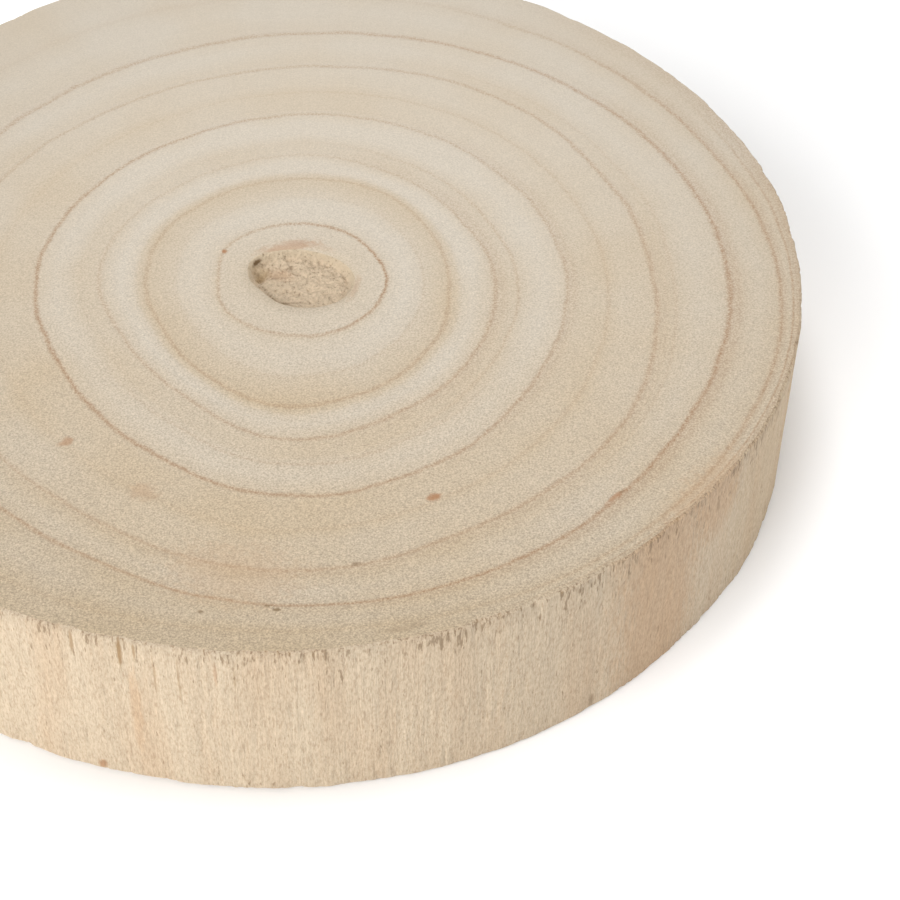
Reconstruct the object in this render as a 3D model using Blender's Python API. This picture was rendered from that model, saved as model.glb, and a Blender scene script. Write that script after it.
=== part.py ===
"""Round slice of a pale, fast-grown trunk: bark stripped, both faces sawn flat, soft pith torn out.

The slice lies flat with the trunk's axis upright. Wood and pith grew as one, so they are one solid.
Sizes here are in millimetres and angles in degrees, counted anticlockwise from +X. The mesh is in
metres, and the origin is the middle of the sawn underside.
"""

import math
import random

import bmesh
import bpy
from mathutils import Matrix, Vector, noise

MM = 0.001
TURN = 360.0

# The slice
RADIUS = 105.0
THICKNESS = 39.5
SIDES = 360
ARRIS = 0.45

# Heights of the wall's loops between its two arrises
WALL_HEIGHTS = (5.0, 13.0, 21.0, 29.0, 34.0, 37.3)

# Slow waves of the trunk's outline: how many go round it, height, angle of a crest
OUTLINE_WAVES = ((2, 0.30, 88.0), (3, 0.85, -20.0), (4, 0.35, 16.0), (7, 0.12, 30.0), (11, 0.10, 75.0))

# Shallow flutes that the stripped bark leaves along the grain: how many, depth, lean over the thickness
FLUTES = ((17, 0.16, 2.0), (31, 0.14, -1.5), (53, 0.12, 1.0), (79, 0.10, -0.6))

# Fibres torn out at the top arris on the near side: angle, width, depth, drop below the top face
TORN_FIBRES = (
    (-107.0, 4.0, 0.35, 7.0),
    (-102.0, 3.5, 0.35, 6.0),
    (-97.0, 4.0, 0.25, 4.0),
    (-90.5, 6.0, 0.25, 2.6),
    (-84.0, 4.0, 0.35, 6.0),
    (-77.0, 6.5, 0.30, 4.5),
    (-67.5, 5.0, 0.40, 6.0),
    (-61.5, 4.0, 0.35, 4.5),
    (-52.5, 4.5, 0.35, 5.0),
    (-44.5, 5.5, 0.35, 6.5),
    (-36.5, 3.6, 0.35, 8.0),
)

# The same on the rest of the trunk, and along the lower arris, drawn at random
HIDDEN_TEARS = 16
LOWER_TEARS = 18
TEAR_SEED = 7
TEAR_WIDTH = (3.5, 6.5)
TEAR_DEPTH = (0.20, 0.40)
TEAR_DROP = (2.5, 7.0)
HIDDEN_ARC = (-20.0, 240.0)

# The pith: its middle, its edge at each twelfth of a turn, and how deep it is torn out
PITH_CENTRE = (3.6, -7.5)
PITH_EDGE = (11.1, 9.8, 8.7, 8.7, 9.6, 11.4, 10.4, 8.5, 8.5, 8.8, 9.7, 10.9)
PITH_SIDES = 72
PITH_LOOPS = (0.97, 0.91, 0.80, 0.64, 0.46, 0.28, 0.12)
PITH_DEPTH = 1.7
PITH_WALL = 0.16
POCKET_CENTRE = (-5.0, -4.6)
POCKET_SPREAD = 2.6
POCKET_DEPTH = 1.4
CELL_SPACING = 2.3
CELL_DEPTH = 0.55

WOOD_COLOUR = (0.74, 0.62, 0.46, 1.0)
WOOD_ROUGHNESS = 0.75
SHARP_ANGLE = 35.0


def clear_scene():
    for thing in list(bpy.data.objects):
        bpy.data.objects.remove(thing, do_unlink=True)


def smooth_step(value):
    """Ease from 0 to 1 as value goes from 0 to 1."""
    value = min(max(value, 0.0), 1.0)
    return value * value * (3.0 - 2.0 * value)


def turn_between(first, second):
    """Signed angle from the second direction to the first, the short way round."""
    return (first - second + TURN / 2) % TURN - TURN / 2


def torn_fibres(seed, count, arc):
    """Tears at evenly spread angles of an arc, each shifted and sized at random."""
    draw = random.Random(seed)
    step = (arc[1] - arc[0]) / count
    tears = []
    for place in range(count):
        angle = arc[0] + step * (place + draw.uniform(0.2, 0.8))
        tears.append((angle, draw.uniform(*TEAR_WIDTH), draw.uniform(*TEAR_DEPTH), draw.uniform(*TEAR_DROP)))
    return tears


def tear_depth(angle, below, tears):
    """Depth of the torn fibres at an angle, at a distance along the grain from the arris."""
    deepest = 0.0
    for middle, width, depth, drop in tears:
        aside = math.radians(abs(turn_between(angle, middle))) * RADIUS / (width / 2)
        across = smooth_step(1.0 - aside)
        along = smooth_step(1.0 - below / drop)
        deepest = max(deepest, depth * across * along)
    return deepest


def trunk_radius(angle):
    """Radius of the stripped trunk, before the grain's relief."""
    radius = RADIUS
    for count, crest, at in OUTLINE_WAVES:
        radius += crest * math.cos(math.radians(count * (angle - at)))
    return radius


def flute_depth(angle, height):
    """Depth of the shallow flutes, which lean a little from the underside to the top."""
    depth = 0.0
    for count, deep, lean in FLUTES:
        turned = angle + lean * height / THICKNESS
        depth += deep * (0.5 + 0.5 * math.sin(math.radians(count * turned)))
    return depth


def shape_wall(vertices, upper_tears, lower_tears):
    """Move each vertex of the plain round wall onto the grain's relief."""
    for vertex in vertices:
        angle = math.degrees(math.atan2(vertex.co.y, vertex.co.x))
        height = vertex.co.z / MM
        radius = trunk_radius(angle) - flute_depth(angle, height)
        radius -= tear_depth(angle, THICKNESS - height, upper_tears)
        radius -= tear_depth(angle, height, lower_tears)
        if min(height, THICKNESS - height) < ARRIS / 2:
            radius -= ARRIS
        vertex.co.x = radius * MM * math.cos(math.radians(angle))
        vertex.co.y = radius * MM * math.sin(math.radians(angle))


def raise_wall(mesh):
    """Stack the wall's loops from the underside to the top face, and return the two end loops' edges."""
    bmesh.ops.create_circle(mesh, segments=SIDES, radius=RADIUS * MM)
    lower_edges = list(mesh.edges)
    edges = lower_edges
    for height in (ARRIS, *WALL_HEIGHTS, THICKNESS - ARRIS, THICKNESS):
        grown = bmesh.ops.extrude_edge_only(mesh, edges=edges)["geom"]
        edges = [item for item in grown if isinstance(item, bmesh.types.BMEdge)]
        loop = [item for item in grown if isinstance(item, bmesh.types.BMVert)]
        for vertex in loop:
            vertex.co.z = height * MM
    return lower_edges, edges


def pith_edge(angle):
    """Distance from the pith's middle to its edge, smooth between the twelfths of a turn."""
    count = len(PITH_EDGE)
    place = (angle % TURN) / TURN * count
    first = int(place)
    part = place - first
    before, start, end, after = (PITH_EDGE[(first + shift) % count] for shift in (-1, 0, 1, 2))
    rise = 0.5 * (end - before)
    leave = 0.5 * (after - start)
    curve = (2.0 * start - 2.0 * end + rise + leave) * part + (3.0 * end - 3.0 * start - 2.0 * rise - leave)
    return start + (rise + curve * part) * part


def pith_depth(x, y, reach):
    """Depth of the torn pith, where reach runs from 1 at its edge to 0 at its middle."""
    wall = smooth_step((1.0 - reach) / PITH_WALL)
    away = math.hypot(x - POCKET_CENTRE[0], y - POCKET_CENTRE[1]) / POCKET_SPREAD
    pocket = POCKET_DEPTH * math.exp(-away * away)
    cells = CELL_DEPTH * noise.noise(Vector((x, y, 0.0)) / CELL_SPACING)
    return wall * (PITH_DEPTH + pocket + cells)


def place_pith_loop(vertices, reach, face_height, inward):
    """Lay one loop of the pith at its share of the way out to the pith's edge."""
    x0, y0 = PITH_CENTRE
    for vertex in vertices:
        angle = math.degrees(math.atan2(vertex.co.y - y0 * MM, vertex.co.x - x0 * MM))
        distance = pith_edge(angle) * reach
        x = x0 + distance * math.cos(math.radians(angle))
        y = y0 + distance * math.sin(math.radians(angle))
        vertex.co = Vector((x, y, face_height + inward * pith_depth(x, y, reach))) * MM


def tear_pith(mesh, face_height, inward):
    """Sink the pith into one sawn face, and return the edges of its rim."""
    middle = Matrix.Translation(Vector((*PITH_CENTRE, face_height)) * MM)
    rim = bmesh.ops.create_circle(mesh, segments=PITH_SIDES, radius=MM, matrix=middle)["verts"]
    place_pith_loop(rim, 1.0, face_height, inward)
    rim_edges = list({edge for vertex in rim for edge in vertex.link_edges})
    edges = rim_edges
    for reach in PITH_LOOPS:
        grown = bmesh.ops.extrude_edge_only(mesh, edges=edges)["geom"]
        edges = [item for item in grown if isinstance(item, bmesh.types.BMEdge)]
        loop = [item for item in grown if isinstance(item, bmesh.types.BMVert)]
        place_pith_loop(loop, reach, face_height, inward)
    bmesh.ops.contextual_create(mesh, geom=edges)
    return rim_edges


def seat_on_origin(mesh):
    """Bring the middle of the underside's box to the origin."""
    for axis in (0, 1):
        places = [vertex.co[axis] for vertex in mesh.verts]
        middle = (min(places) + max(places)) / 2
        for vertex in mesh.verts:
            vertex.co[axis] -= middle


def wood_material():
    """Pale, bare, lightly sanded wood."""
    material = bpy.data.materials.new("bare_pale_wood")
    material.use_nodes = True
    shader = material.node_tree.nodes["Principled BSDF"]
    shader.inputs["Base Color"].default_value = WOOD_COLOUR
    shader.inputs["Roughness"].default_value = WOOD_ROUGHNESS
    shader.inputs["Metallic"].default_value = 0.0
    return material


def make_slice():
    mesh = bmesh.new()
    lower_edges, upper_edges = raise_wall(mesh)
    upper_tears = [*TORN_FIBRES, *torn_fibres(TEAR_SEED, HIDDEN_TEARS, HIDDEN_ARC)]
    lower_tears = torn_fibres(TEAR_SEED + 1, LOWER_TEARS, (0.0, TURN))
    shape_wall(list(mesh.verts), upper_tears, lower_tears)
    for rim, height, facing in ((upper_edges, THICKNESS, 1.0), (lower_edges, 0.0, -1.0)):
        pith_rim = tear_pith(mesh, height, -facing)
        bmesh.ops.triangle_fill(mesh, use_beauty=True, edges=[*rim, *pith_rim], normal=(0.0, 0.0, facing))
    bmesh.ops.recalc_face_normals(mesh, faces=mesh.faces)
    seat_on_origin(mesh)

    data = bpy.data.meshes.new("wood_slice")
    mesh.to_mesh(data)
    mesh.free()
    data.shade_smooth()
    data.set_sharp_from_angle(angle=math.radians(SHARP_ANGLE))
    data.materials.append(wood_material())
    wood = bpy.data.objects.new("wood_slice", data)
    bpy.context.scene.collection.objects.link(wood)
    return wood


clear_scene()
make_slice()
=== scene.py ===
"""Looks of the wood slice: sawn end grain, stripped side grain and torn pith, in soft studio light.

Numbers are millimetres, and degrees anticlockwise from +X, as in the part's own source. Meshes are in
metres, and the origin is the middle of the slice's underside. The shape is the source's own, made finer:
the same outline, flutes, torn fibres and pith, with the fibres, chips and pores that a hand would feel.
"""

import math
import random

import bmesh
import bpy
from bpy.props import FloatProperty, FloatVectorProperty, PointerProperty
from bpy.types import Operator, Panel, PropertyGroup
from mathutils import Matrix, Vector, noise


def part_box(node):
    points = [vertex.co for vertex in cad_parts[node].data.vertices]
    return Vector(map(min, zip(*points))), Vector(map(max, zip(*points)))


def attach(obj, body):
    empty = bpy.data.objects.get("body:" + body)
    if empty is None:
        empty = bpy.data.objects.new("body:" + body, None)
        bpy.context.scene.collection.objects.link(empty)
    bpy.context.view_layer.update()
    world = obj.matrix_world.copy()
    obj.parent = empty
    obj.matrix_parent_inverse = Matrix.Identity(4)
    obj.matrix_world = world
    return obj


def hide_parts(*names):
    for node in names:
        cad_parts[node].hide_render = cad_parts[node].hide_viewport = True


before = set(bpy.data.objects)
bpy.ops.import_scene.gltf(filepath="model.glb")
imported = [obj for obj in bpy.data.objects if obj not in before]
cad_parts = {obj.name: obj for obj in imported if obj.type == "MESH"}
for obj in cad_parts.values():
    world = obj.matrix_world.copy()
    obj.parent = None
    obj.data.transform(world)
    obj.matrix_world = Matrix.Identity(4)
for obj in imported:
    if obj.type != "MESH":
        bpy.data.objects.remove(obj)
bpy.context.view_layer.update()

bl_info = {
    "name": "Wood Slice",
    "version": (1, 0, 0),
    "blender": (4, 5, 0),
    "location": "3D View > Sidebar > Wood Slice",
    "description": "Dresses a packed wood slice in its grain and stands it in a small studio",
    "category": "Add Mesh",
}

MM = 0.001
TURN = 360.0

# The CAD solid that is dressed here, its body, the piece that dresses it, and the solid's thickness
CAD_NODE = "wood_slice"
BODY = "root"
PIECE = "bare_wood_slice"
THICKNESS = (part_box(CAD_NODE)[1].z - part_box(CAD_NODE)[0].z) / MM

# The trunk's outline: how many waves go round it, their height, the angle of a crest
RADIUS = 105.0
OUTLINE_WAVES = ((2, 0.30, 88.0), (3, 0.85, -20.0), (4, 0.35, 16.0), (7, 0.12, 30.0), (11, 0.10, 75.0))

# Flutes along the grain: how many, depth, lean over the thickness
FLUTES = ((17, 0.16, 2.0), (31, 0.14, -1.5), (53, 0.12, 1.0), (79, 0.10, -0.6))

# Fibres torn out at the top arris on the near side: angle, width, depth, drop below the top face
TORN_FIBRES = (
    (-107.0, 4.0, 0.35, 7.0),
    (-102.0, 3.5, 0.35, 6.0),
    (-97.0, 4.0, 0.25, 4.0),
    (-90.5, 6.0, 0.25, 2.6),
    (-84.0, 4.0, 0.35, 6.0),
    (-77.0, 6.5, 0.30, 4.5),
    (-67.5, 5.0, 0.40, 6.0),
    (-61.5, 4.0, 0.35, 4.5),
    (-52.5, 4.5, 0.35, 5.0),
    (-44.5, 5.5, 0.35, 6.5),
    (-36.5, 3.6, 0.35, 8.0),
)

# The same on the rest of the trunk, and along the lower arris, drawn at random: how many, their shift within
# their share of the arc, and the limits of their width, depth and drop
HIDDEN_TEARS = 16
LOWER_TEARS = 18
TEAR_SEED = 7
TEAR_SHIFT = (0.2, 0.8)
TEAR_WIDTH = (3.5, 6.5)
TEAR_DEPTH = (0.20, 0.40)
TEAR_DROP = (2.5, 7.0)
HIDDEN_ARC = (-20.0, 240.0)

# The pith: its middle, its edge at each twelfth of a turn, and how deep it is torn out
PITH_CENTRE = (3.6, -7.5)
PITH_EDGE = (11.1, 9.8, 8.7, 8.7, 9.6, 11.4, 10.4, 8.5, 8.5, 8.8, 9.7, 10.9)
PITH_DEPTH = 1.7
PITH_WALL = 0.16
POCKET_CENTRE = (-5.0, -4.6)
POCKET_SPREAD = 2.6
POCKET_DEPTH = 1.4
CELL_SPACING = 2.3
CELL_DEPTH = 0.55

# Main growth rings: the mean radius that names each one, and its distance from the pith's middle at each
# twelfth of a turn. Growth runs from 0 at the pith's middle to the trunk's radius at the stripped outline.
RINGS = (
    (9.8, PITH_EDGE),
    (17.2, (17.3, 16.5, 16.8, 17.0, 17.5, 18.0, 16.5, 17.0, 17.0, 17.0, 17.2, 17.3)),
    (32.2, (30.0, 30.0, 31.5, 31.5, 31.5, 31.5, 31.0, 30.5, 33.0, 37.0, 35.0, 32.5)),
    (40.4, (39.5, 37.5, 38.0, 39.5, 39.0, 40.0, 40.5, 38.3, 40.0, 45.5, 43.2, 41.0)),
    (54.3, (53.8, 53.0, 53.3, 53.5, 52.5, 52.5, 53.0, 51.8, 54.8, 59.8, 58.3, 54.5)),
    (73.0, (71.5, 71.3, 72.9, 71.5, 70.0, 71.0, 72.0, 73.0, 74.2, 78.3, 75.9, 74.7)),
    (85.8, (86.7, 86.3, 85.7, 84.0, 82.0, 81.0, 81.5, 82.0, 82.0, 86.1, 86.3, 84.9)),
    (96.5, (97.0, 96.2, 98.0, 99.5, 99.0, 97.0, 95.0, 94.0, 94.0, 92.0, 93.5, 95.0)),
)
TRUNK_GROWTH = RADIUS

# Which of a ring's two numbers is its growth, and which its distance
GROWTH, DISTANCE = 0, 1

# Colour of the wood across the growth, from 0 for pale early wood to 1 for tan late wood
BANDS = (
    (10.0, 0.50), (12.0, 0.34), (16.3, 0.27), (17.6, 0.38), (19.0, 0.18), (22.0, 0.06), (25.0, 0.19),
    (27.0, 0.40), (32.2, 0.67), (33.6, 0.50), (34.6, 0.17), (36.5, 0.03), (39.8, 0.33), (42.0, 0.40),
    (44.9, 0.40), (47.5, 0.20), (50.0, 0.13), (53.5, 0.33), (56.0, 0.50), (60.0, 0.50), (63.5, 0.57),
    (66.0, 0.43), (71.0, 0.40), (75.0, 0.50), (80.5, 0.27), (85.5, 0.38), (87.5, 0.46), (92.0, 0.35),
    (96.0, 0.53), (99.0, 0.47), (105.0, 0.53),
)

# Growth lines wander by noise: size of the noise, and how far it moves them
WANDERS = ((12.0, 0.35), (1.4, 0.18))

# Tan patches across the sawn faces: size, and how much tanner
PATCH_SIZE = 22.0
PATCH_TONE = 0.16

# Thin seasons between the main rings: how many to a millimetre of growth
SEASONS = 1.1

# Faint rays run out from the pith: the radius at which their noise is read, and how fast it changes outwards
RAY_RADIUS = 60.0
RAY_STRETCH = 0.08

# How much seasons, rays and patches brighten and darken the sawn wood
FAINT_SHARE = 0.012

# Pores stand out most towards -Y, where the saw tore them: from which side to which, and how much they show
PORE_SIDES = (-85.0, 85.0)
PORE_SHARES = (0.38, 0.08)

# The wood darkens a little towards the rim: growth where that starts, and by how much
RIM_START = 62.0
RIM_SHADE = 0.08

# Painted sheen and shade: paler and lighter to +Y, tanner and darker to -Y; how much a millimetre adds
SHEEN_AND_SHADE_TONE = 0.0037
SHEEN_AND_SHADE_LIGHT = 0.0003

# Pores break the ring lines into dots: two values of the pores, and the share of a line that shows at each
RING_DOTS = (-0.6, 0.6, 0.84, 0.24)

# Dark lines at the ends of seasons, and soft tan bands outside some of them: growth, width, strength, angle
# where it is clearest, how far round from there it fades, and the share of its strength that is left there
RING_LINES = (
    (17.2, 0.42, 1.15, 15.0, 110.0, 0.45),
    (26.2, 0.40, 0.20, -30.0, 120.0, 0.30),
    (32.2, 0.50, 0.50, -80.0, 180.0, 0.60),
    (40.4, 0.50, 0.60, -60.0, 180.0, 0.40),
    (44.8, 0.40, 0.35, 10.0, 80.0, 0.10),
    (46.8, 0.40, 0.30, -90.0, 60.0, 0.00),
    (54.4, 0.50, 1.00, -140.0, 150.0, 0.45),
    (63.0, 0.45, 0.25, 0.0, 120.0, 0.30),
    (72.9, 0.55, 0.60, -10.0, 180.0, 0.65),
    (76.5, 0.40, 0.20, 0.0, 90.0, 0.00),
    (85.7, 0.58, 0.92, -50.0, 180.0, 0.60),
    (96.4, 0.55, 0.70, 5.0, 75.0, 0.15),
    (101.0, 0.45, 0.80, -15.0, 55.0, 0.00),
    (41.7, 1.2, 0.22, 0.0, 90.0, 0.00),
    (55.7, 1.1, 0.22, 0.0, 80.0, 0.00),
    (74.2, 1.3, 0.20, -60.0, 90.0, 0.00),
    (87.2, 1.5, 0.36, -20.0, 80.0, 0.00),
    (97.6, 1.3, 0.26, 0.0, 75.0, 0.00),
    (103.6, 2.0, 0.45, -5.0, 75.0, 0.00),
)

# Stains on the sawn faces: angle, distance from the pith, half size along and across the ring, colour name,
# strength
FACE_STAINS = (
    (-64.7, 65.9, 1.5, 0.9, "fleck", 0.80),
    (-43.8, 84.8, 3.0, 0.5, "fleck", 0.60),
    (-42.6, 84.9, 0.7, 0.4, "pore_shadow", 0.45),
    (-79.3, 77.5, 0.8, 0.5, "pore_shadow", 0.60),
    (-89.3, 87.1, 0.9, 0.4, "pore_shadow", 0.75),
    (-90.4, 86.2, 0.7, 0.4, "pore_shadow", 0.60),
    (-97.9, 88.7, 0.7, 0.4, "pore_shadow", 0.65),
    (-75.5, 93.7, 4.5, 0.8, "pore_shadow", 0.25),
    (-113.0, 64.7, 3.0, 2.4, "fleck", 0.22),
    (-131.0, 62.4, 1.0, 1.6, "fleck", 0.50),
    (154.1, 17.7, 0.6, 0.6, "fleck", 0.80),
    (109.0, 9.9, 6.5, 2.0, "fleck", 0.42),
    (72.0, 10.3, 4.0, 1.2, "fleck", 0.16),
    (-14.0, 11.4, 3.6, 1.0, "fleck", 0.22),
    (-95.0, 79.0, 13.0, 8.0, "side_streak", 0.22),
    (-36.0, 98.0, 16.0, 6.0, "side_streak", 0.28),
)

# Stains on the stripped side: angle, height, half width, half height, colour name, strength
SIDE_STAINS = (
    (-45.5, 20.0, 12.0, 80.0, "side_streak", 0.52),
    (-36.5, 34.0, 8.0, 11.0, "side_streak", 0.50),
    (-20.0, 20.0, 24.0, 80.0, "ochre_and_pocket_shade", 0.20),
    (-101.5, 20.0, 1.2, 13.0, "side_streak", 0.45),
    (-107.3, 35.8, 0.35, 3.4, "torn_fibre", 0.65),
    (-102.5, 35.8, 0.45, 3.8, "torn_fibre", 0.85),
    (-101.0, 36.6, 0.30, 2.6, "torn_fibre", 0.65),
    (-99.2, 31.0, 0.25, 6.0, "torn_fibre", 0.45),
    (-96.8, 30.5, 0.25, 6.5, "torn_fibre", 0.45),
    (-93.2, 33.0, 0.35, 3.5, "fleck", 0.35),
    (-91.4, 32.5, 0.25, 3.5, "torn_fibre", 0.40),
    (-36.5, 33.0, 0.5, 1.8, "pore_shadow", 0.45),
    (-54.0, 2.0, 0.7, 2.0, "pore_shadow", 0.50),
    (-106.0, 1.6, 0.9, 1.4, "fleck", 0.70),
)

# Stains and painted shade in the torn pith, two of them at its hollow: place, half size, turn, colour name,
# strength
PITH_STAINS_AND_SHADE = (
    # Painted shade in the pocket's hollow
    ((-5.0, -4.5, 38.0), (2.4, 1.9, 3.0), 0.0, "ochre_and_pocket_shade", 0.27),
    ((-1.0, -5.3, 38.0), (3.4, 2.0, 2.0), -15.0, "fleck", 0.28),
    # Painted shade: a dark spot for a deep hole at the pocket's far edge
    ((-5.8, -2.9, 38.7), (1.6, 1.3, 0.5), 0.0, "pore_shadow", 1.00),
    ((1.1, -3.2, 37.8), (0.8, 0.6, 1.0), 20.0, "pore_shadow", 0.50),
    ((2.0, -13.8, 38.2), (3.0, 0.5, 1.0), 5.0, "pore_shadow", 0.35),
)

# How far the stains on the stripped side reach into the wood
SIDE_STAIN_DEPTH = 9.0

# Stains have ragged edges: size of the rags on the sawn faces, how far rags reach, and where a stain starts
# and is full, in shares of its half size
RAG_SIZE = 1.0
RAG_REACH = 0.35
STAIN_EDGE = (1.3, 0.4)

# Patterns along the stripped grain: width in fibre bundles, detail, roughness, and length for each width
FIBRE_PATTERN = (1.0, 3.0, 0.65, 14.0)
DASH_PATTERN = (0.7, 2.0, 0.70, 3.6)
SPLIT_PATTERN = (1.1, 2.0, 0.60, 5.5)

# Broad streaks along the stripped grain: width in millimetres, and length for each width
STREAK_WIDTH = 7.0
STREAK_LENGTH = 9.0

# How much fibres, dashes, the wood near the upper arris and the arris itself brighten the side, and how far
# below the top face the last two start and are full
SIDE_SHARES = (0.09, 0.20, -0.06, -0.08)
NEAR_ARRIS = (4.0, 0.0)
AT_ARRIS = (0.7, 0.1)

# Pits under the upper arris: how far down they reach, the angle where they crowd most, the cosines of the
# turn from there between which that builds up, how crowded they are at both, and how much streaks group them
PIT_REACH = 10.0
PITTED_SIDE = -50.0
PITTED_FACING = (0.70, 0.98)
PIT_CROWDS = (0.42, 0.63)
PIT_GROUPS = 0.45

# How patterns paint the stripped side: the values where a paint starts and is full, and its strength there
STREAKED = (-0.1, 1.2, 0.35)
TANNED = (0.1, -1.0, 0.45)
PITTED = (0.72, 1.00, 0.62)
BROKEN = (0.25, 1.00, 0.48)

# The same in the torn pith: painted shade in its pocket by its depth, and its pits by its cells
POCKET_SHADE = (2.2, 3.2, 0.4)
PORED = (-0.40, -0.80, 0.65)

# Depths between which the torn pith's wall turns into its floor
PITH_FLOOR = (0.9, 1.6)

# Spongy cells of the torn pith: size, and how much they show on its wall and on its floor
CELL_SIZE = 0.7
CELL_SHARES = (0.10, 0.27)

# How rough the surfaces are: the sawn faces in and between their pores, the side, and the pith
FACE_ROUGHNESS = (0.82, 0.70)
SIDE_ROUGHNESS = 0.78
PITH_ROUGHNESS = 0.9

# Relief that is too fine to model: its strength and height
FACE_RELIEF = (0.5, 0.03)
SIDE_RELIEF = (0.6, 0.06)
PITH_RELIEF = (0.8, 0.25)

# How high the side's dashes stand, as a share of its fibres
DASH_RELIEF = 0.5

# Blender's noise textures keep mostly between these two values
NOISE_RANGE = (0.25, 0.75)

# Fineness of the wall: columns, loops, and how evenly the loops are spread
WALL_SIDES = 1440
WALL_LOOPS = 34
WALL_EVENNESS = 0.65

# Fineness of the sawn faces: directions from the pith, growth between loops, growth of the innermost loop,
# and width of the band that runs in from the ragged arris
FACE_SIDES = 360
FACE_STEP = {"upper": 2.6, "under": 5.0}
FACE_INNER = 12.3
EDGE_BAND = 2.0

# Fineness of the torn pith: directions, loops, and the innermost loop's share of the way out
PITH_SIDES = 180
PITH_LOOPS = {"upper": 40, "under": 14}
LAST_REACH = 0.05

# Vertices of the wall this far from both sawn faces count as the trunk's outline
WALL_MARGIN = 1.0

# Edges that turn by more than this are shaded sharp
SHARP_ANGLE = 35.0

# Slots of the slice's materials after the first, which is the end grain
SIDE_GRAIN, TORN_PITH = 1, 2

# Fine relief of the stripped wall: width across the grain, length along it, height
FIBRES = ((2.4, 26.0, 0.09), (1.3, 13.0, 0.07))

# Short grooves in the wall, read the same way: the noise where one starts, and the rise to its full depth
GROOVE = (1.1, 5.0, 0.16)
GROOVE_START = 0.22
GROOVE_RISE = 0.25

# Chips that the saw left along both arrises: width, spacing of their crowds and how much a crowd adds, the
# noise where a chip starts, the rise to its full depth, and the least and most that it drops down the wall
CHIP_WIDTH = 1.0
CHIP_CROWD = 9.0
CROWD_SHARE = 0.30
CHIP_START = 0.30
CHIP_RISE = 0.40
CHIP_DROP = (0.5, 2.6)

# An arc with a few more chips, and how much it adds
CHIPPED_ARC = (-95.0, -38.0)
CHIPPED_SHARE = 0.05

# Step through the noise between patterns that must not match
NOISE_STEP = 360.0

# Small cells in the torn pith: width, height
PITH_CELLS = ((1.1, 0.34), (0.55, 0.16))

# Camera: focal length, sensor width, place, tilt from straight down, and turn about its own axis
LENS = 90.0
SENSOR = 36.0
CAMERA_PLACE = (34.398, -347.645, 340.820)
CAMERA_TILT = 44.16
CAMERA_TURN = 0.983

# Gap between the slice and the floor, so that they don't share a plane
FLOOR_GAP = 0.1
FLOOR_ROUGHNESS = 0.9

# Soft lights, far enough off to light the floor evenly: name, azimuth, elevation, width in metres
LIGHT_DISTANCE = 4.0
LIGHTS = (
    ("key", -127.0, 29.0, 3.4),
    ("right", 18.0, 33.0, 3.2),
    ("back", 90.0, 40.0, 2.4),
    ("high", 155.0, 78.0, 1.2),
)

# How many shader nodes stand in a row of the editor, and the step from one to the next
NODES_IN_ROW = 12
NODE_STEP = (190.0, 330.0)

# What all colour settings share
COLOUR = {"size": 4, "min": 0.0, "max": 1.0, "subtype": "COLOR"}


def linear(colour):
    """Turn an sRGB hex colour into the linear RGBA that a shader takes."""
    levels = [int(colour[start:start + 2], 16) / 255 for start in (0, 2, 4)]
    light = [((level + 0.055) / 1.055) ** 2.4 if level > 0.04045 else level / 12.92 for level in levels]
    return (*light, 1.0)


class WoodSliceLook(PropertyGroup):
    """Sizes and colours of the slice's surface."""

    arris: FloatProperty(
        name="Arris", description="Width of the worn edge round both sawn faces",
        default=0.45 * MM, min=0.1 * MM, max=1.0 * MM, unit="LENGTH", precision=5)
    chip_depth: FloatProperty(
        name="Chip depth", description="How deep the saw chipped the fibres at the arris",
        default=0.18 * MM, min=0.0, max=0.8 * MM, unit="LENGTH", precision=5)
    pore_size: FloatProperty(
        name="Pore spacing", description="Spacing of the face's pores, drawn coarse enough to show",
        default=0.36 * MM, min=0.1 * MM, max=1.0 * MM, unit="LENGTH", precision=5)
    fibre_width: FloatProperty(
        name="Fibre width", description="Width of the side's fibre bundles, drawn coarse enough to show",
        default=0.50 * MM, min=0.1 * MM, max=2.0 * MM, unit="LENGTH", precision=5)
    early_wood: FloatVectorProperty(
        name="Early wood", description="Pale wood of spring, on the sawn faces",
        default=linear("BFB5A6"), **COLOUR)
    late_wood: FloatVectorProperty(
        name="Late wood", description="Tan wood of summer, on the sawn faces",
        default=linear("B39F82"), **COLOUR)
    ring_line: FloatVectorProperty(
        name="Ring line", description="Thin dark line where a season's growth ends",
        default=linear("93704F"), **COLOUR)
    fleck: FloatVectorProperty(
        name="Fleck", description="Orange-brown stain in the grain",
        default=linear("9A6A42"), **COLOUR)
    pore_shadow: FloatVectorProperty(
        name="Pore shadow", description="Dark inside of an open pore or a split",
        default=linear("6E5638"), **COLOUR)
    side_grain: FloatVectorProperty(
        name="Side grain", description="Stripped side of the trunk",
        default=linear("BCAB93"), **COLOUR)
    side_streak: FloatVectorProperty(
        name="Side streak", description="Reddish streaks along the side grain, and tan stains",
        default=linear("B28F6C"), **COLOUR)
    torn_fibre: FloatVectorProperty(
        name="Torn fibre", description="Broken fibre ends at the arris",
        default=linear("8E7048"), **COLOUR)
    pith: FloatVectorProperty(
        name="Pith", description="Spongy torn pith",
        default=linear("C4B096"), **COLOUR)
    pith_wall: FloatVectorProperty(
        name="Pith wall", description="Smoother wood that the pith came away from",
        default=linear("C3B197"), **COLOUR)
    # Ochre tone of the stripped side, and painted shade in the deep pocket of the pith
    ochre_and_pocket_shade: FloatVectorProperty(
        name="Pith pocket", description="Ochre wood in the deepest pocket of the pith",
        default=linear("A98A58"), **COLOUR)


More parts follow.
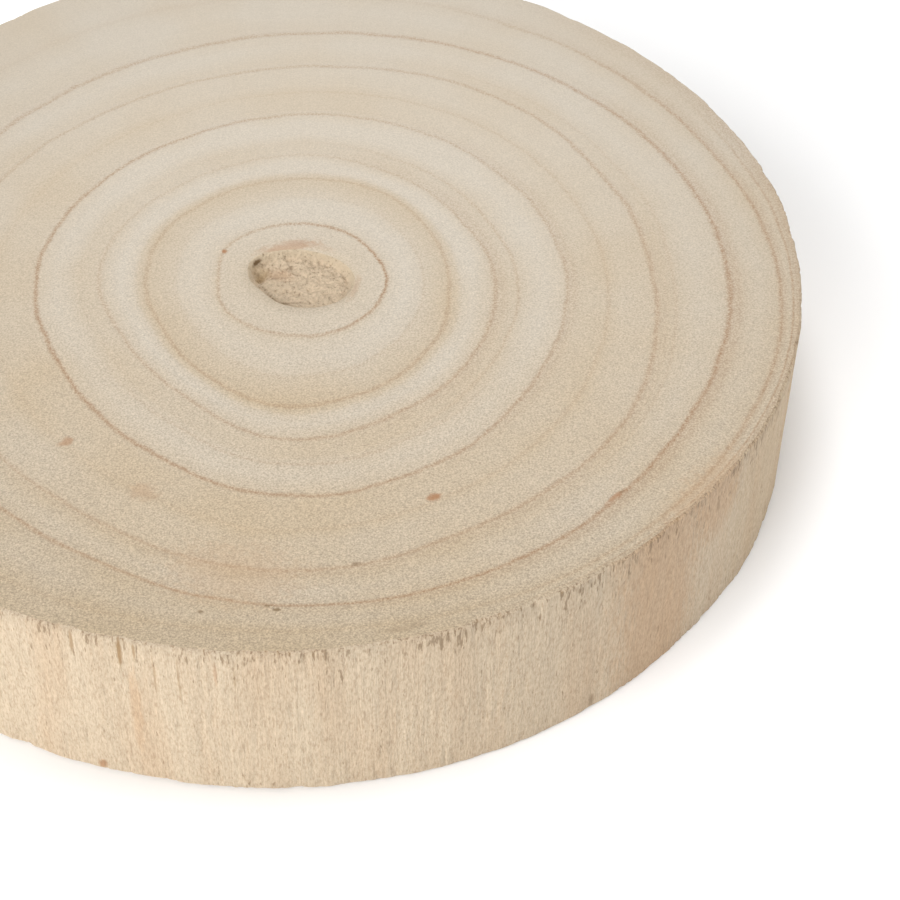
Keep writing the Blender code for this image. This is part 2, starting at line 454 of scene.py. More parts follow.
class StudioLook(PropertyGroup):
    """Light and floor of the studio."""

    floor: FloatVectorProperty(
        name="Floor", description="Pale paper sweep that the slice rests on",
        default=linear("F8F8F8"), **COLOUR)
    floor_width: FloatProperty(
        name="Floor width", description="Distance across the floor", default=10.0, min=1.0, unit="LENGTH")
    room: FloatProperty(
        name="Room light", description="Strength of the even light from all round", default=0.03, min=0.0)
    key_power: FloatProperty(
        name="Key light", description="Power of the large soft light on the left, towards the camera",
        default=226.0, min=0.0, unit="POWER")
    right_power: FloatProperty(
        name="Right light", description="Power of the large soft light on the right",
        default=118.0, min=0.0, unit="POWER")
    back_power: FloatProperty(
        name="Back light", description="Power of the soft light behind the slice",
        default=28.0, min=0.0, unit="POWER")
    high_power: FloatProperty(
        name="High light", description="Power of the smaller light nearly overhead",
        default=50.0, min=0.0, unit="POWER")


def smooth_step(value):
    """Ease from 0 to 1 as value goes from 0 to 1."""
    value = min(max(value, 0.0), 1.0)
    return value * value * (3.0 - 2.0 * value)


def turn_between(first, second):
    """Signed angle from the second direction to the first, the short way round."""
    return (first - second + TURN / 2) % TURN - TURN / 2


def stand_off(angle, distance, height=0.0):
    """A place at an angle and distance from the middle."""
    turned = math.radians(angle)
    return Vector((distance * math.cos(turned), distance * math.sin(turned), height))


def torn_fibres(seed, count, arc):
    """Tears at evenly spread angles of an arc, each shifted and sized at random."""
    draw = random.Random(seed)
    step = (arc[1] - arc[0]) / count
    tears = []
    for place in range(count):
        angle = arc[0] + step * (place + draw.uniform(*TEAR_SHIFT))
        width, depth, drop = (draw.uniform(*limits) for limits in (TEAR_WIDTH, TEAR_DEPTH, TEAR_DROP))
        tears.append((angle, width, depth, drop))
    return tears


def tears_at(angle, tears):
    """The tears that reach an angle: how deep each one is there, and its drop."""
    here = []
    for middle, width, depth, drop in tears:
        aside = math.radians(abs(turn_between(angle, middle))) * RADIUS / (width / 2)
        if aside < 1.0:
            here.append((depth * smooth_step(1.0 - aside), drop))
    return here


def trunk_radius(angle):
    """Radius of the stripped trunk, before the grain's relief."""
    radius = RADIUS
    for count, crest, at in OUTLINE_WAVES:
        radius += crest * math.cos(math.radians(count * (angle - at)))
    return radius


def flute_depth(angle, height):
    """Depth of the shallow flutes, which lean a little from the underside to the top."""
    depth = 0.0
    for count, deep, lean in FLUTES:
        turned = angle + lean * height / THICKNESS
        depth += deep * (0.5 + 0.5 * math.sin(math.radians(count * turned)))
    return depth


def fibre_relief(place):
    """Height of the fine fibres at a place on the wall, which run along the grain."""
    relief = 0.0
    for width, length, high in FIBRES:
        relief += high * noise.noise(Vector((place.x / width, place.y / width, place.z / length)))
    width, length, deep = GROOVE
    rough = noise.noise(Vector((place.x / width, place.y / width, place.z / length + NOISE_STEP)))
    return relief - deep * smooth_step((rough - GROOVE_START) / GROOVE_RISE)


def chip_at(angle, side):
    """Depth share and drop of the chip at an angle of the arris. The side shifts the pattern."""
    place = stand_off(angle, 1.0) * RADIUS
    shift = Vector((0.0, 0.0, side * NOISE_STEP))
    crowd = CROWD_SHARE * noise.noise(place / CHIP_CROWD + shift)
    if CHIPPED_ARC[0] < turn_between(angle, 0.0) < CHIPPED_ARC[1]:
        crowd += CHIPPED_SHARE
    share = smooth_step((noise.noise(place / CHIP_WIDTH + shift) + crowd - CHIP_START) / CHIP_RISE)
    length = min(max(0.5 + noise.noise(place / CHIP_WIDTH / 2 - shift), 0.0), 1.0)
    return share, CHIP_DROP[0] + (CHIP_DROP[1] - CHIP_DROP[0]) * length


def wall_columns(upper_tears, lower_tears):
    """What happens at each angle of the wall: angle, radius, and the tears and chip at both arrises."""
    columns = []
    for index in range(WALL_SIDES):
        angle = index * TURN / WALL_SIDES
        upper = (tears_at(angle, upper_tears), chip_at(angle, 1.0))
        lower = (tears_at(angle, lower_tears), chip_at(angle, 2.0))
        columns.append((angle, trunk_radius(angle), upper, lower))
    return columns


def arris_wear(damage, below, chip_depth):
    """Depth of the tears and the chip at a distance from their arris, and how torn the fibres are there."""
    tears, (chip, chip_drop) = damage
    chipped = chip * smooth_step(1.0 - below / chip_drop)
    depth = max([0.0, *(deep * smooth_step(1.0 - below / drop) for deep, drop in tears)])
    return depth + chip_depth * chipped, max(chipped, depth)


def shape_wall(vertices, layers, look):
    """Move each vertex of the plain round wall onto the grain's relief."""
    upper_tears = [*TORN_FIBRES, *torn_fibres(TEAR_SEED, HIDDEN_TEARS, HIDDEN_ARC)]
    lower_tears = torn_fibres(TEAR_SEED + 1, LOWER_TEARS, (0.0, TURN))
    columns = wall_columns(upper_tears, lower_tears)
    arris = look.arris / MM
    chip_depth = look.chip_depth / MM
    for vertex in vertices:
        turned = math.degrees(math.atan2(vertex.co.y, vertex.co.x))
        angle, outline, upper, lower = columns[round(turned * WALL_SIDES / TURN) % WALL_SIDES]
        height = vertex.co.z / MM
        across = stand_off(angle, 1.0)
        upper_depth, upper_torn = arris_wear(upper, THICKNESS - height, chip_depth)
        lower_depth, lower_torn = arris_wear(lower, height, chip_depth)
        radius = outline - flute_depth(angle, height) - upper_depth - lower_depth
        if min(height, THICKNESS - height) < arris / 2:
            radius -= arris
        else:
            radius += fibre_relief(across * RADIUS + Vector((0.0, 0.0, height)))
        vertex[layers["torn"]] = max(upper_torn, lower_torn)
        vertex.co = (across * radius + Vector((0.0, 0.0, height))) * MM


def circle_edges(vertices):
    """The edges of a new circle, from its vertices."""
    return list(dict.fromkeys(edge for vertex in vertices for edge in vertex.link_edges))


def loop_parts(grown):
    """The vertices and edges of the loop that an extrusion has just made."""
    vertices = [item for item in grown if isinstance(item, bmesh.types.BMVert)]
    edges = [item for item in grown if isinstance(item, bmesh.types.BMEdge)]
    return vertices, edges


def wall_heights(arris):
    """Heights of the wall's loops above the first, closer together towards both arrises."""
    between = THICKNESS - 2 * arris
    heights = []
    for step in range(WALL_LOOPS + 1):
        share = step / WALL_LOOPS
        eased = 0.5 - 0.5 * math.cos(math.pi * share)
        heights.append(arris + between * (WALL_EVENNESS * share + (1.0 - WALL_EVENNESS) * eased))
    return [*heights, THICKNESS]


def raise_wall(mesh, layers, look):
    """Extrude the wall from the underside to the top face, and return its two end loops' edges."""
    bmesh.ops.create_circle(mesh, segments=WALL_SIDES, radius=RADIUS * MM)
    lower_edges = list(mesh.edges)
    edges = lower_edges
    for height in wall_heights(look.arris / MM):
        vertices, edges = loop_parts(bmesh.ops.extrude_edge_only(mesh, edges=edges)["geom"])
        for vertex in vertices:
            vertex.co.z = height * MM
    shape_wall(list(mesh.verts), layers, look)
    return lower_edges, edges


def edge_band(mesh, layers, edges, face_height):
    """Run the ragged edge of a sawn face in to a smooth loop, and return that loop's edges."""
    vertices, edges = loop_parts(bmesh.ops.extrude_edge_only(mesh, edges=edges)["geom"])
    for vertex in vertices:
        turned = math.degrees(math.atan2(vertex.co.y, vertex.co.x))
        angle = round(turned * WALL_SIDES / TURN) * TURN / WALL_SIDES
        vertex.co = stand_off(angle, trunk_radius(angle) - EDGE_BAND, face_height) * MM
        vertex[layers["torn"]] = 0.0
    return edges


def around(points, angle):
    """Value at an angle, smooth between points that are spread evenly round a turn."""
    count = len(points)
    place = (angle % TURN) / TURN * count
    first = int(place)
    part = place - first
    before, start, end, after = (points[(first + shift) % count] for shift in (-1, 0, 1, 2))
    rise = 0.5 * (end - before)
    leave = 0.5 * (after - start)
    curve = (2.0 * start - 2.0 * end + rise + leave) * part + (3.0 * end - 3.0 * start - 2.0 * rise - leave)
    return start + (rise + curve * part) * part


def rim_distance(angle):
    """Distance from the pith's middle to the trunk's outline, in one direction, found in three rounds."""
    x0, y0 = PITH_CENTRE
    ahead = Vector((math.cos(math.radians(angle)), math.sin(math.radians(angle))))
    along = ahead.dot(PITH_CENTRE)
    distance = RADIUS
    for _ in range(3):
        x = x0 + distance * ahead.x
        y = y0 + distance * ahead.y
        outline = trunk_radius(math.degrees(math.atan2(y, x)))
        distance = math.sqrt(outline ** 2 - x0 ** 2 - y0 ** 2 + along ** 2) - along
    return distance


def rings_along(angle):
    """Growth and distance of each main ring on the way out from the pith, in one direction."""
    rings = [(0.0, 0.0)]
    for growth, distances in RINGS:
        rings.append((growth, around(distances, angle)))
    return [*rings, (TRUNK_GROWTH, rim_distance(angle))]


def between_rings(rings, value, known, wanted):
    """Read growth from distance, or distance from growth, along one direction."""
    for inner, outer in zip(rings, rings[1:]):
        if value <= outer[known]:
            break
    share = (value - inner[known]) / (outer[known] - inner[known])
    return inner[wanted] + share * (outer[wanted] - inner[wanted])


def pith_depth(x, y, reach):
    """Depth of the torn pith, where reach runs from 1 at its edge to 0 at its middle."""
    wall = smooth_step((1.0 - reach) / PITH_WALL)
    away = math.hypot(x - POCKET_CENTRE[0], y - POCKET_CENTRE[1]) / POCKET_SPREAD
    pocket = POCKET_DEPTH * math.exp(-away * away)
    cells = CELL_DEPTH * noise.noise(Vector((x, y, 0.0)) / CELL_SPACING)
    for width, deep in PITH_CELLS:
        cells += deep * noise.noise(Vector((x, y, 0.0)) / width)
    return wall * (PITH_DEPTH + pocket + cells)


def direction_index(vertex, sides):
    """Which of the evenly spread directions from the pith's middle a vertex lies in."""
    turned = math.degrees(math.atan2(vertex.co.y - PITH_CENTRE[1] * MM, vertex.co.x - PITH_CENTRE[0] * MM))
    return round(turned * sides / TURN) % sides


def place_from_pith(vertex, angle, distance, height):
    """Put a vertex at a direction and distance from the pith's middle."""
    x = PITH_CENTRE[0] + distance * math.cos(math.radians(angle))
    y = PITH_CENTRE[1] + distance * math.sin(math.radians(angle))
    vertex.co = Vector((x, y, height)) * MM
    return x, y


def face_growths(step):
    """Growth at each loop of a sawn face, from the outermost one in, with a loop on every main ring."""
    stops = [FACE_INNER, *(growth for growth, _ in RINGS[1:])]
    growths = stops[-1:]
    for inner, outer in reversed(list(zip(stops, stops[1:]))):
        count = max(1, round((outer - inner) / step))
        growths.extend(outer + (inner - outer) * part / count for part in range(1, count + 1))
    return growths


def saw_face(mesh, face_height, growths):
    """Lay the loops of a sawn face along the growth rings, and return its outer and inner edges."""
    directions = [rings_along(index * TURN / FACE_SIDES) for index in range(FACE_SIDES)]
    middle = Matrix.Translation(Vector((*PITH_CENTRE, face_height)) * MM)
    circle = bmesh.ops.create_circle(mesh, segments=FACE_SIDES, radius=RADIUS * MM, matrix=middle)
    vertices = circle["verts"]
    outer_edges = circle_edges(vertices)
    edges = outer_edges
    for growth in growths:
        if growth < growths[0]:
            vertices, edges = loop_parts(bmesh.ops.extrude_edge_only(mesh, edges=edges)["geom"])
        for vertex in vertices:
            index = direction_index(vertex, FACE_SIDES)
            distance = between_rings(directions[index], growth, GROWTH, DISTANCE)
            place_from_pith(vertex, index * TURN / FACE_SIDES, distance, face_height)
    return outer_edges, edges


def tear_pith(mesh, layers, face_height, inward, loops):
    """Sink the pith into one sawn face, and return the edges of its rim."""
    middle = Matrix.Translation(Vector((*PITH_CENTRE, face_height)) * MM)
    vertices = bmesh.ops.create_circle(mesh, segments=PITH_SIDES, radius=MM, matrix=middle)["verts"]
    rim_edges = circle_edges(vertices)
    edges = rim_edges
    for step in range(loops + 1):
        reach = 1.0 + (LAST_REACH - 1.0) * step / loops
        if step:
            vertices, edges = loop_parts(bmesh.ops.extrude_edge_only(mesh, edges=edges)["geom"])
        for vertex in vertices:
            angle = direction_index(vertex, PITH_SIDES) * TURN / PITH_SIDES
            x, y = place_from_pith(vertex, angle, around(PITH_EDGE, angle) * reach, face_height)
            depth = pith_depth(x, y, reach)
            vertex.co.z += inward * depth * MM
            vertex[layers["sunk"]] = depth
    bmesh.ops.contextual_create(mesh, geom=edges)
    return rim_edges


def read_growth(mesh, layers):
    """Write the growth and the place from the pith, in millimetres, on every vertex."""
    for vertex in mesh.verts:
        aside = Vector((vertex.co.x / MM - PITH_CENTRE[0], vertex.co.y / MM - PITH_CENTRE[1], 0.0))
        growth = TRUNK_GROWTH
        between_faces = WALL_MARGIN < vertex.co.z / MM < THICKNESS - WALL_MARGIN
        if aside.length < RADIUS / 2 or not between_faces:
            rings = rings_along(math.degrees(math.atan2(aside.y, aside.x)))
            growth = between_rings(rings, aside.length, DISTANCE, GROWTH)
        vertex[layers["from_pith"]] = aside
        vertex[layers["growth"]] = growth


def seat_on_origin(mesh):
    """Bring the middle of the underside's box to the origin, and return how far it moved."""
    shift = Vector((0.0, 0.0, 0.0))
    for axis in (0, 1):
        places = [vertex.co[axis] for vertex in mesh.verts]
        shift[axis] = (min(places) + max(places)) / 2
    bmesh.ops.translate(mesh, vec=-shift, verts=mesh.verts)
    return shift


def model_slice(look):
    """Model the slice's whole surface as one closed mesh, and return it with how far it moved."""
    mesh = bmesh.new()
    layers = {name: mesh.verts.layers.float.new(name) for name in ("growth", "torn", "sunk")}
    layers["from_pith"] = mesh.verts.layers.float_vector.new("from_pith")
    lower_edges, upper_edges = raise_wall(mesh, layers, look)
    zones = [(SIDE_GRAIN, 0, len(mesh.faces))]
    for rim, height, facing, part in (
        (upper_edges, THICKNESS, 1.0, "upper"),
        (lower_edges, 0.0, -1.0, "under"),
    ):
        band = edge_band(mesh, layers, rim, height)
        outer, inner = saw_face(mesh, height, face_growths(FACE_STEP[part]))
        bmesh.ops.bridge_loops(mesh, edges=[*band, *outer])
        first = len(mesh.faces)
        pith_rim = tear_pith(mesh, layers, height, -facing, PITH_LOOPS[part])
        zones.append((TORN_PITH, first, len(mesh.faces)))
        bmesh.ops.bridge_loops(mesh, edges=[*inner, *pith_rim])
    read_growth(mesh, layers)
    shift = seat_on_origin(mesh)
    bmesh.ops.recalc_face_normals(mesh, faces=mesh.faces)
    mesh.faces.ensure_lookup_table()
    for slot, first, end in zones:
        for face in mesh.faces[first:end]:
            face.material_index = slot
    return mesh, shift


def add_node(tree, kind, inputs=(), take=None, **settings):
    """Add a shader node with its settings, fill its live sockets, and return one of its outputs."""
    node = tree.nodes.new("ShaderNode" + kind)
    row, column = divmod(len(tree.nodes), NODES_IN_ROW)
    node.location = (column * NODE_STEP[0], -row * NODE_STEP[1])
    for name, value in settings.items():
        setattr(node, name, value)
    live = [socket for socket in node.inputs if socket.enabled]
    named = {socket.name: socket for socket in live}
    for key, value in inputs.items() if isinstance(inputs, dict) else enumerate(inputs):
        socket = named[key] if isinstance(key, str) else live[key]
        if isinstance(value, bpy.types.NodeSocket):
            tree.links.new(value, socket)
        else:
            socket.default_value = value
    if take:
        return node.outputs[take]
    return next((socket for socket in node.outputs if socket.enabled), node)


def new_material(name):
    """An empty material, and the place of its surface in millimetres."""
    material = bpy.data.materials.new(name)
    material.use_nodes = True
    tree = material.node_tree
    tree.nodes.clear()
    place = add_node(tree, "TexCoord", take="Object")
    millimetres = add_node(tree, "VectorMath", {"Vector": place, "Scale": 1.0 / MM}, operation="SCALE")
    return material, tree, millimetres


def add_surface(tree, colour, roughness, pattern, relief):
    """Add the shader with its colour, its roughness and the fine relief of a pattern."""
    strength, height = relief
    bump = add_node(tree, "Bump", {"Strength": strength, "Distance": height * MM, "Height": pattern})
    surface = {"Base Color": colour, "Roughness": roughness, "Normal": bump}
    shader = add_node(tree, "BsdfPrincipled", surface, take="BSDF")
    add_node(tree, "OutputMaterial", {"Surface": shader})


def spread_noise(tree, place, size, detail=2.0, roughness=0.5, stretch=(1.0, 1.0, 1.0)):
    """Noise from about -1 to 1, with features of a size in millimetres, drawn out by the stretch."""
    drawn = add_node(tree, "Mapping", {"Vector": place, "Scale": [1.0 / (size * part) for part in stretch]})
    rough = add_node(
        tree, "TexNoise", {"Vector": drawn, "Scale": 1.0, "Detail": detail, "Roughness": roughness})
    return add_node(tree, "MapRange", [rough, *NOISE_RANGE, -1.0, 1.0], clamp=False)


def lit_by(tree, colour, patterns):
    """Brighten and darken a colour by patterns, each with its share."""
    light = 1.0
    for pattern, share in patterns:
        light = add_node(tree, "Math", [pattern, share, light], operation="MULTIPLY_ADD")
    return add_node(tree, "VectorMath", {"Vector": colour, "Scale": light}, operation="SCALE")


def paint_where(tree, colour, pattern, start, full, strength, paint):
    """Paint over a colour as a pattern goes from its starting value to its full one."""
    amount = add_node(tree, "MapRange", [pattern, start, full, 0.0, strength])
    return add_node(tree, "Mix", [amount, colour, paint], data_type="RGBA")


def ring_darkness(tree, growth, ahead):
    """How dark the ring lines are: one thin soft line for each season's end, clearer on one side."""
    darkness = 0.0
    for middle, width, strength, angle, reach, rest in RING_LINES:
        clear = stand_off(angle, 1.0)
        facing = add_node(tree, "VectorMath", [ahead, clear], take="Value", operation="DOT_PRODUCT")
        faded = math.cos(math.radians(reach))
        strong = add_node(tree, "MapRange", [facing, faded, 1.0, strength * rest, strength])
        offset = add_node(tree, "Math", [growth, middle], operation="SUBTRACT")
        share = add_node(tree, "Math", [offset, width], operation="DIVIDE")
        square = add_node(tree, "Math", [share, share], operation="MULTIPLY")
        falling = add_node(tree, "Math", [square, -1.0], operation="MULTIPLY")
        line = add_node(tree, "Math", [falling], operation="EXPONENT")
        darkness = add_node(tree, "Math", [line, strong, darkness], operation="MULTIPLY_ADD")
    return darkness


def lay_stain_and_shade(tree, colour, place, middle, angle, half_size, ragged, paint, strength):
    """Paint a colour inside a turned ellipsoid with ragged edges, for stains and for painted shade."""
    turned = add_node(tree, "Mapping", {
        "Vector": place, "Location": middle, "Rotation": (0.0, 0.0, math.radians(angle)),
        "Scale": half_size}, vector_type="TEXTURE")
    away = add_node(tree, "VectorMath", [turned], take="Value", operation="LENGTH")
    edge = add_node(tree, "Math", [ragged, RAG_REACH, away], operation="MULTIPLY_ADD")
    amount = add_node(
        tree, "MapRange", [edge, *STAIN_EDGE, 0.0, strength], interpolation_type="SMOOTHSTEP")
    return add_node(tree, "Mix", [amount, colour, paint], data_type="RGBA")


def season_colour(tree, look, growth, patches, aside):
    """Colour of the sawn wood by its growth: tanner in patches, with painted sheen to +Y and shade to -Y."""
    share = add_node(tree, "Math", [growth, TRUNK_GROWTH], operation="DIVIDE")
    shades = add_node(tree, "ValToRGB", [share], take="Color")
    stops = shades.node.color_ramp.elements
    for count, (at, tone) in enumerate(BANDS):
        stop = stops[count] if count < len(stops) else stops.new(at / TRUNK_GROWTH)
        stop.position = at / TRUNK_GROWTH
        stop.color = (tone, tone, tone, 1.0)
    tone = add_node(tree, "Math", [patches, PATCH_TONE, shades], operation="MULTIPLY_ADD")
    # Painted sheen and shade: the wood is paler towards +Y and tanner towards -Y
    tone = add_node(tree, "Math", [aside, -SHEEN_AND_SHADE_TONE, tone], operation="MULTIPLY_ADD")
    return add_node(tree, "Mix", [tone, look.early_wood, look.late_wood], data_type="RGBA")


def thin_seasons(tree, growth):
    """Thin pale and dark seasons between the main rings."""
    rough = add_node(
        tree, "TexNoise", {"W": growth, "Scale": SEASONS, "Detail": 3.0, "Roughness": 0.6},
        noise_dimensions="1D")
    return add_node(tree, "MapRange", [rough, *NOISE_RANGE, -1.0, 1.0], clamp=False)


def faint_rays(tree, growth, ahead):
    """Rays that run out from the pith, by noise that hardly changes outwards."""
    round_pith = add_node(tree, "VectorMath", {0: ahead, "Scale": RAY_RADIUS}, operation="SCALE")
    outward = add_node(tree, "Math", [growth, RAY_STRETCH], operation="MULTIPLY")
    outward = add_node(tree, "CombineXYZ", {"Z": outward})
    return spread_noise(tree, add_node(tree, "VectorMath", [round_pith, outward], operation="ADD"), 1.0)


def end_grain_material(look):
    """Sawn and lightly sanded end grain: matt, with soft rings, fine open pores and faint rays."""
    material, tree, place = new_material("sawn_end_grain")
    growth = add_node(tree, "Attribute", take="Fac", attribute_name="growth")
    from_pith = add_node(tree, "Attribute", take="Vector", attribute_name="from_pith")
    ahead = add_node(tree, "VectorMath", [from_pith], operation="NORMALIZE")
    aside = add_node(tree, "SeparateXYZ", [from_pith], take="Y")
    pores = spread_noise(tree, place, look.pore_size / MM, detail=2.0, roughness=0.7)
    patches = spread_noise(tree, place, PATCH_SIZE)
    wander = growth
    for size, reach in WANDERS:
        sway = spread_noise(tree, place, size)
        wander = add_node(tree, "Math", [sway, reach, wander], operation="MULTIPLY_ADD")

    wood = season_colour(tree, look, wander, patches, aside)
    showing = add_node(tree, "MapRange", [aside, *PORE_SIDES, *PORE_SHARES])
    speckle = add_node(tree, "Math", [pores, showing], operation="MULTIPLY")
    rim = add_node(tree, "MapRange", [growth, RIM_START, TRUNK_GROWTH, 0.0, -RIM_SHADE])
    seasons = thin_seasons(tree, wander)
    rays = faint_rays(tree, growth, ahead)
    faint = [(pattern, FAINT_SHARE) for pattern in (seasons, rays, patches)]
    # The painted sheen and shade also make the wood lighter towards +Y and darker towards -Y
    wood = lit_by(tree, wood, [(speckle, 1.0), *faint, (aside, SHEEN_AND_SHADE_LIGHT), (rim, 1.0)])

    darkness = ring_darkness(tree, wander, ahead)
    dots = add_node(tree, "MapRange", [pores, *RING_DOTS])
    amount = add_node(tree, "Math", [darkness, dots], operation="MULTIPLY")
    wood = add_node(tree, "Mix", [amount, wood, look.ring_line], data_type="RGBA")
    ragged = spread_noise(tree, place, RAG_SIZE, detail=3.0)
    for angle, distance, along, across, paint, strength in FACE_STAINS:
        wood = lay_stain_and_shade(
            tree, wood, from_pith, stand_off(angle, distance), angle, (across, along, 1.0), ragged,
            getattr(look, paint), strength)
    rough = add_node(tree, "MapRange", [pores, -1.0, 1.0, *FACE_ROUGHNESS])
    add_surface(tree, wood, rough, pores, FACE_RELIEF)
    return material


def pit_crowding(tree, place, height, streaks):
    """How crowded the pits are: more towards the upper arris, towards one side and in some streaks."""
    pitted_side = stand_off(PITTED_SIDE, 1.0 / RADIUS)
    facing = add_node(tree, "VectorMath", [place, pitted_side], take="Value", operation="DOT_PRODUCT")
    crowd = add_node(tree, "MapRange", [facing, *PITTED_FACING, *PIT_CROWDS])
    rise = add_node(tree, "MapRange", [height, THICKNESS - PIT_REACH, THICKNESS, 0.0, 1.0])
    crowd = add_node(tree, "Math", [rise, crowd], operation="MULTIPLY")
    grouped = add_node(tree, "Math", [streaks, PIT_GROUPS, 1.0], operation="MULTIPLY_ADD")
    return add_node(tree, "Math", [crowd, grouped], operation="MULTIPLY")


def side_grain_material(look):
    """Side of a trunk whose bark was stripped: long matt fibres with short dark splits along them."""
    material, tree, place = new_material("stripped_side_grain")
    torn = add_node(tree, "Attribute", take="Fac", attribute_name="torn")
    height = add_node(tree, "SeparateXYZ", [place], take="Z")
    bundle = look.fibre_width / MM
    fibres, dashes, splits = (
        spread_noise(tree, place, bundle * width, detail, roughness, (1.0, 1.0, length))
        for width, detail, roughness, length in (FIBRE_PATTERN, DASH_PATTERN, SPLIT_PATTERN))
    streaks = spread_noise(tree, place, STREAK_WIDTH, detail=3.0, stretch=(1.0, 1.0, STREAK_LENGTH))

    wood = paint_where(tree, look.side_grain, streaks, *STREAKED, look.side_streak)
    for angle, up, across, along, paint, strength in SIDE_STAINS:
        half_size = (SIDE_STAIN_DEPTH, across, along)
        wood = lay_stain_and_shade(
            tree, wood, place, stand_off(angle, RADIUS, up), angle, half_size, splits,
            getattr(look, paint), strength)
    wood = paint_where(tree, wood, dashes, *TANNED, look.side_streak)
    near_arris, at_arris = (
        add_node(tree, "MapRange", [height, THICKNESS - start, THICKNESS - end, 0.0, 1.0])
        for start, end in (NEAR_ARRIS, AT_ARRIS))
    wood = lit_by(tree, wood, zip((fibres, dashes, near_arris, at_arris), SIDE_SHARES))

    crowding = pit_crowding(tree, place, height, streaks)
    pitted = add_node(tree, "Math", [splits, crowding], operation="ADD")
    wood = paint_where(tree, wood, pitted, *PITTED, look.pore_shadow)
    ragged = add_node(tree, "Math", [splits, RAG_REACH, torn], operation="MULTIPLY_ADD")
    wood = paint_where(tree, wood, ragged, *BROKEN, look.torn_fibre)
    relief = add_node(tree, "Math", [dashes, DASH_RELIEF, fibres], operation="MULTIPLY_ADD")
    add_surface(tree, wood, SIDE_ROUGHNESS, relief, SIDE_RELIEF)
    return material


def pith_material(look):
    """Torn pith: dry spongy cells, darker in their pits, with painted shade in the deep pocket."""
    material, tree, place = new_material("torn_spongy_pith")
    sunk = add_node(tree, "Attribute", take="Fac", attribute_name="sunk")
    cells = spread_noise(tree, place, CELL_SIZE, detail=3.0, roughness=0.7)
    wood = paint_where(tree, look.pith_wall, sunk, *PITH_FLOOR, 1.0, look.pith)
    # Painted shade where the pocket is deepest
    wood = paint_where(tree, wood, sunk, *POCKET_SHADE, look.ochre_and_pocket_shade)
    spongy = add_node(tree, "MapRange", [sunk, *PITH_FLOOR, *CELL_SHARES])
    wood = lit_by(tree, wood, [(cells, spongy)])
    wood = paint_where(tree, wood, cells, *PORED, look.pore_shadow)
    for middle, half_size, angle, paint, strength in PITH_STAINS_AND_SHADE:
        wood = lay_stain_and_shade(tree, wood, place, middle, angle, half_size, cells, getattr(look, paint), strength)
    add_surface(tree, wood, PITH_ROUGHNESS, cells, PITH_RELIEF)
    return material


class WOODSLICE_OT_add_slice(Operator):
    """Model the slice and give it its grain"""

    bl_idname = "wood_slice.add_slice"
    bl_label = "Add Wood Slice"

    def execute(self, context):
        look = context.scene.wood_slice_look
        mesh, shift = model_slice(look)
        data = bpy.data.meshes.new(PIECE)
        mesh.to_mesh(data)
        mesh.free()
        data.shade_smooth()
        data.set_sharp_from_angle(angle=math.radians(SHARP_ANGLE))
        for material in (end_grain_material(look), side_grain_material(look), pith_material(look)):
            data.materials.append(material)
        wood = bpy.data.objects.new(PIECE, data)
        context.scene.collection.objects.link(wood)
        wood["outline_shift"] = shift
        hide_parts(CAD_NODE)
        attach(wood, BODY)
        return {"FINISHED"}


def lay_floor(studio):
    """Lay the floor just under the slice: a sweep of matt white paper, which gives back soft light."""
    mesh = bmesh.new()
    bmesh.ops.create_grid(mesh, x_segments=1, y_segments=1, size=studio.floor_width / 2)
    bmesh.ops.translate(mesh, vec=(0.0, 0.0, -FLOOR_GAP * MM), verts=mesh.verts)
    data = bpy.data.meshes.new("floor")
    mesh.to_mesh(data)
    mesh.free()
    material = bpy.data.materials.new("matt_white_paper")
    material.use_nodes = True
    shader = material.node_tree.nodes["Principled BSDF"]
    shader.inputs["Base Color"].default_value = studio.floor
    shader.inputs["Roughness"].default_value = FLOOR_ROUGHNESS
    data.materials.append(material)
    floor = bpy.data.objects.new("floor", data)
    bpy.context.scene.collection.objects.link(floor)


def hang_light(name, azimuth, elevation, width, power):
    """Hang a square soft light that looks at the slice from a direction."""
    data = bpy.data.lights.new(name, "AREA")
    data.shape = "SQUARE"
    data.size = width
    data.energy = power
    light = bpy.data.objects.new(name, data)
    raised = math.radians(elevation)
    place = stand_off(azimuth, math.cos(raised), math.sin(raised)) * LIGHT_DISTANCE
    light.matrix_world = Matrix.Translation(place) @ place.to_track_quat("Z", "Y").to_matrix().to_4x4()
    bpy.context.scene.collection.objects.link(light)


def fill_room(studio):
    """Light the room faintly from all round, behind a white that the camera sees."""
    world = bpy.data.worlds.new("studio_room")
    world.use_nodes = True
    background = world.node_tree.nodes["Background"]
    background.inputs["Color"].default_value = linear("FFFFFF")
    seen = add_node(world.node_tree, "LightPath", take="Is Camera Ray")
    strength = add_node(world.node_tree, "MapRange", [seen, 0.0, 1.0, studio.room, 1.0])
    world.node_tree.links.new(strength, background.inputs["Strength"])
    bpy.context.scene.world = world


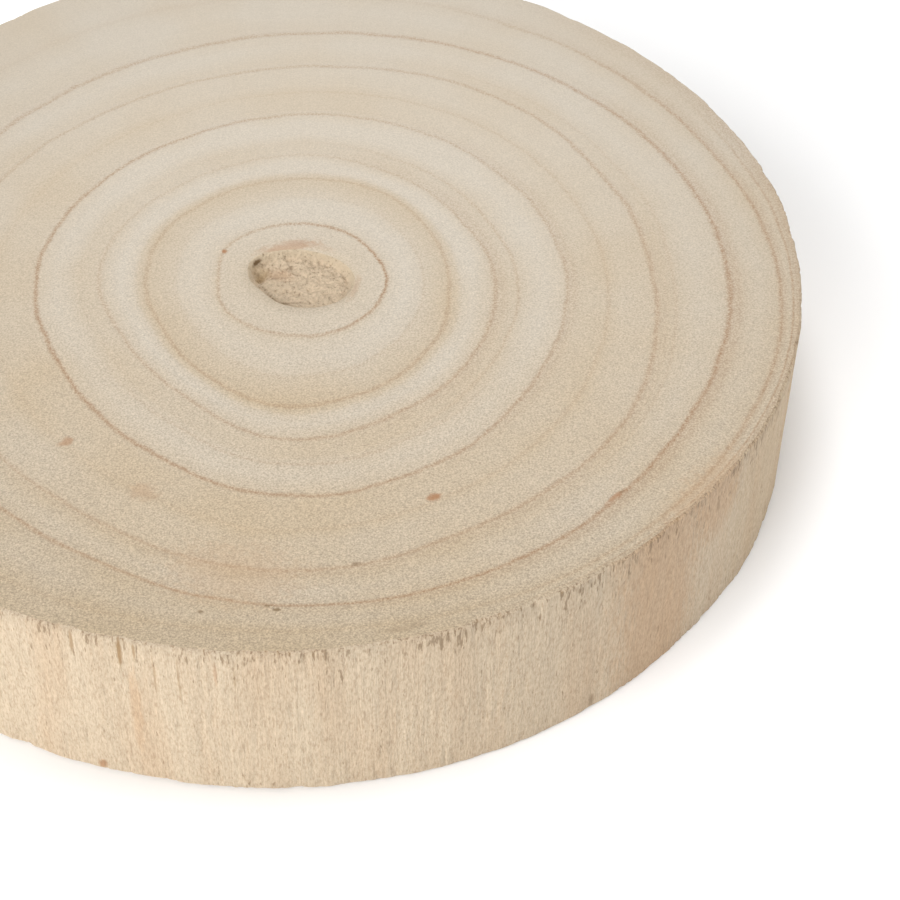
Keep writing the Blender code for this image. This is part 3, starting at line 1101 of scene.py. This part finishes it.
def place_camera(shift):
    """Set the camera where the photograph was taken from."""
    data = bpy.data.cameras.new("camera")
    data.lens = LENS
    data.sensor_width = SENSOR
    camera = bpy.data.objects.new("camera", data)
    place = Vector(CAMERA_PLACE) * MM - Vector(shift)
    tilt = Matrix.Rotation(math.radians(CAMERA_TILT), 4, "X")
    turn = Matrix.Rotation(math.radians(CAMERA_TURN), 4, "Z")
    camera.matrix_world = Matrix.Translation(place) @ tilt @ turn
    bpy.context.scene.collection.objects.link(camera)
    bpy.context.scene.camera = camera


class WOODSLICE_OT_add_stage(Operator):
    """Lay the floor, hang the lights and place the camera"""

    bl_idname = "wood_slice.add_stage"
    bl_label = "Add Studio"

    def execute(self, context):
        studio = context.scene.wood_slice_studio
        lay_floor(studio)
        fill_room(studio)
        for name, azimuth, elevation, width in LIGHTS:
            hang_light(f"{name}_light", azimuth, elevation, width, getattr(studio, f"{name}_power"))
        place_camera(context.scene.objects[PIECE]["outline_shift"])
        context.scene.view_settings.view_transform = "Standard"
        context.scene.view_settings.look = "None"
        return {"FINISHED"}


class WOODSLICE_PT_panel(Panel):
    """Lists the slice's settings and its operators in the sidebar"""

    bl_idname = "WOODSLICE_PT_panel"
    bl_label = "Wood Slice"
    bl_space_type = "VIEW_3D"
    bl_region_type = "UI"
    bl_category = "Wood Slice"

    def draw(self, context):
        for settings in (context.scene.wood_slice_look, context.scene.wood_slice_studio):
            column = self.layout.column()
            for name in settings.bl_rna.properties.keys():
                if name not in ("rna_type", "name"):
                    column.prop(settings, name)
        self.layout.operator(WOODSLICE_OT_add_slice.bl_idname)
        self.layout.operator(WOODSLICE_OT_add_stage.bl_idname)


CLASSES = (
    WoodSliceLook,
    StudioLook,
    WOODSLICE_OT_add_slice,
    WOODSLICE_OT_add_stage,
    WOODSLICE_PT_panel,
)


def register():
    for entry in CLASSES:
        bpy.utils.register_class(entry)
    bpy.types.Scene.wood_slice_look = PointerProperty(type=WoodSliceLook)
    bpy.types.Scene.wood_slice_studio = PointerProperty(type=StudioLook)


def unregister():
    del bpy.types.Scene.wood_slice_studio
    del bpy.types.Scene.wood_slice_look
    for entry in reversed(CLASSES):
        bpy.utils.unregister_class(entry)


def main():
    """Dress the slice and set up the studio."""
    register()
    bpy.ops.wood_slice.add_slice()
    bpy.ops.wood_slice.add_stage()


if __name__ == "__main__":
    main()
